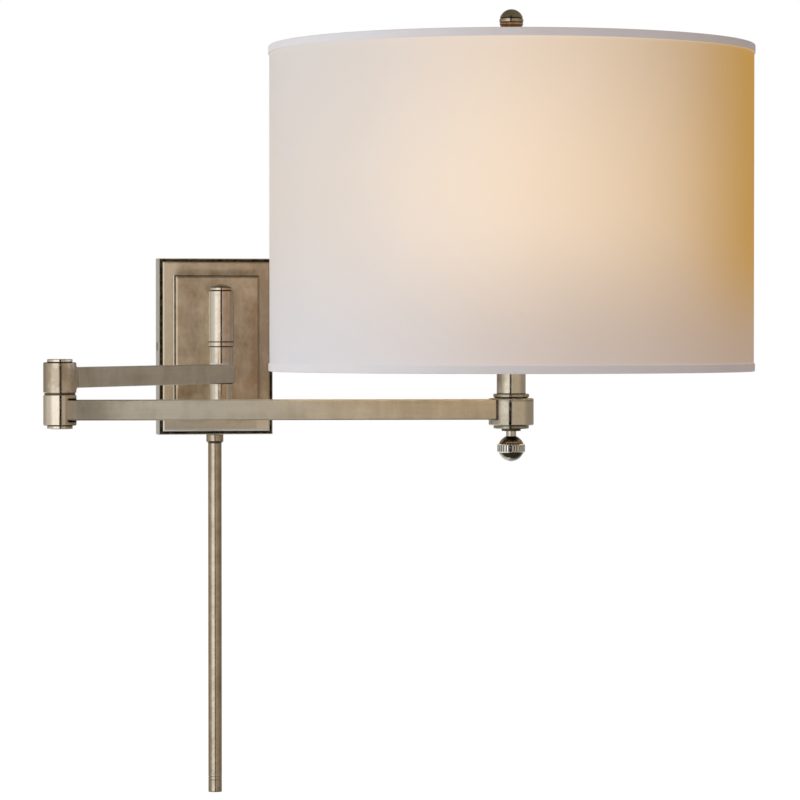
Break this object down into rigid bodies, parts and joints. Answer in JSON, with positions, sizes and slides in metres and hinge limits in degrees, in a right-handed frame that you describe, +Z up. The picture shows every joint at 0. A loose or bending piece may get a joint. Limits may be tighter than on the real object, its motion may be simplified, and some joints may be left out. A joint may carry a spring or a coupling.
{
  "type": "swing-arm wall lamp",
  "caption": "Wall-mounted swing-arm reading lamp: moulded back plate with cord cover, jointed arms, drum shade on a harp, and a dimmer knob below the socket.",
  "frame": {"origin": "centre of the wall plate's back face, on the wall", "axes": "+X to the right along the wall, +Z up, the room lies towards -Y; +Y points into the wall"},
  "size_m": [0.4444, 0.4096, 0.5191],
  "materials": {
    "nickel": "antique nickel, satin with brown patina",
    "dark_nickel": "blackened nickel, polished",
    "steel": "zinc plated",
    "brass": "plain brass",
    "black_plastic": "moulded, matt",
    "ivory_plastic": "moulded, matt",
    "liner_card": "fibre card",
    "lead_sheath": "flexible sheath",
    "bulb_cap": "bright",
    "bulb_glass": "frosted inside",
    "shade_paper": "natural fibre paper on a stiff liner, lit from inside",
    "shade_tape": "folded edge tape"
  },
  "bodies": {
    "wall_bracket": {"wall_strap": "steel", "backplate": "nickel", "side_screws": "dark_nickel", "terminal_block": "ivory_plastic", "pivot_bracket": "nickel", "bracket_screws": "steel", "pivot_pin": "steel", "pivot_washers": "black_plastic", "pivot_sleeve": "nickel", "pivot_cap": "nickel", "pivot_base_cap": "nickel", "cord_tube": "nickel", "tube_ferrule": "nickel", "tube_locknut": "steel", "tube_bush": "black_plastic"},
    "upper_arm": {"upper_arm_tube": "nickel", "upper_arm_lead": "lead_sheath", "upper_barrel": "nickel", "elbow_pin": "steel", "elbow_washer": "black_plastic", "elbow_top_cap": "nickel", "elbow_bottom_cap": "nickel"},
    "lower_arm": {"lower_arm_tube": "nickel", "lower_arm_lead": "lead_sheath", "lower_barrel": "nickel", "collar_barrel": "nickel", "collar_flange": "nickel", "collar_ring": "nickel", "dimmer_body": "black_plastic", "dimmer_nut": "dark_nickel", "socket_post": "nickel", "socket_nipple": "steel", "harp_saddle": "brass", "socket_cup": "brass", "socket_shell": "brass", "socket_liner": "liner_card", "socket_core": "black_plastic", "screw_shell": "brass", "bulb_base": "bulb_cap", "bulb_globe": "bulb_glass", "harp": "brass", "harp_sleeves": "brass", "shade_spider": "brass", "shade_ring": "brass", "shade_drum": "shade_paper", "shade_top_tape": "shade_tape", "shade_bottom_tape": "shade_tape", "finial": "dark_nickel"},
    "dimmer_knob": {"knob_shaft": "steel", "knob_ball": "dark_nickel", "knob_ring": "nickel"}
  },
  "joints": [
    {"name": "wall_pivot", "type": "hinge", "parent": "wall_bracket", "child": "upper_arm", "pos_m": [0, -0.0396, -0.01835], "axis": [0, 0, 1], "range_deg": [-55, 125]},
    {"name": "elbow", "type": "hinge", "parent": "upper_arm", "child": "lower_arm", "pos_m": [-0.12963, -0.22473, -0.03855], "axis": [0, 0, 1], "range_deg": [-249, 12]},
    {"name": "dimmer_turn", "type": "hinge", "parent": "lower_arm", "child": "dimmer_knob", "pos_m": [0.15155, -0.25677, -0.063], "axis": [0, 0, 1], "range_deg": [-270, 0]}
  ]
}
